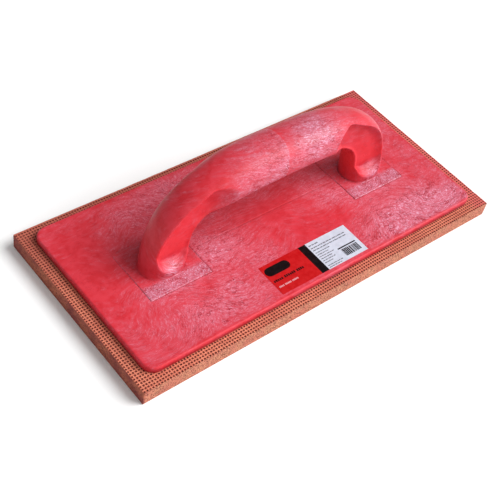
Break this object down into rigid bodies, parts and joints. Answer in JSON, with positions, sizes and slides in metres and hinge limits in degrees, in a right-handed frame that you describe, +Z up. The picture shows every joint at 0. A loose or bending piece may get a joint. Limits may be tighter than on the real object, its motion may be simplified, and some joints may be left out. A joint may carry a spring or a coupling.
{
  "type": "rubber-faced hand float",
  "caption": "Plasterer's hand float: an arched moulded plastic grip on a flat plastic plate, backed by a thick cellular rubber working pad for finishing cement and plaster.",
  "frame": {"origin": "centre of the pad's flat working face, which is the underside and rests on Z = 0", "axes": "+X along the long side, +Y across, +Z up through the grip"},
  "size_m": [0.28, 0.134, 0.0818],
  "materials": {
    "pad_rubber": "matte cellular rubber, terracotta, cloth-grid pits",
    "adhesive": "cured contact adhesive",
    "plate_plastic": "semi-gloss red moulding with pale swirled flow marks",
    "handle_plastic": "semi-gloss red moulding with pale swirled flow marks",
    "screw_steel": "zinc plated",
    "label_film": "printed self-adhesive film, half red and half white"
  },
  "bodies": {
    "root": {"rubber_pad": "pad_rubber", "bond_film": "adhesive", "backing_plate": "plate_plastic", "handle": "handle_plastic", "screw_left_outer": "screw_steel", "screw_left_inner": "screw_steel", "screw_right_inner": "screw_steel", "screw_right_outer": "screw_steel", "product_label": "label_film"}
  },
  "joints": []
}
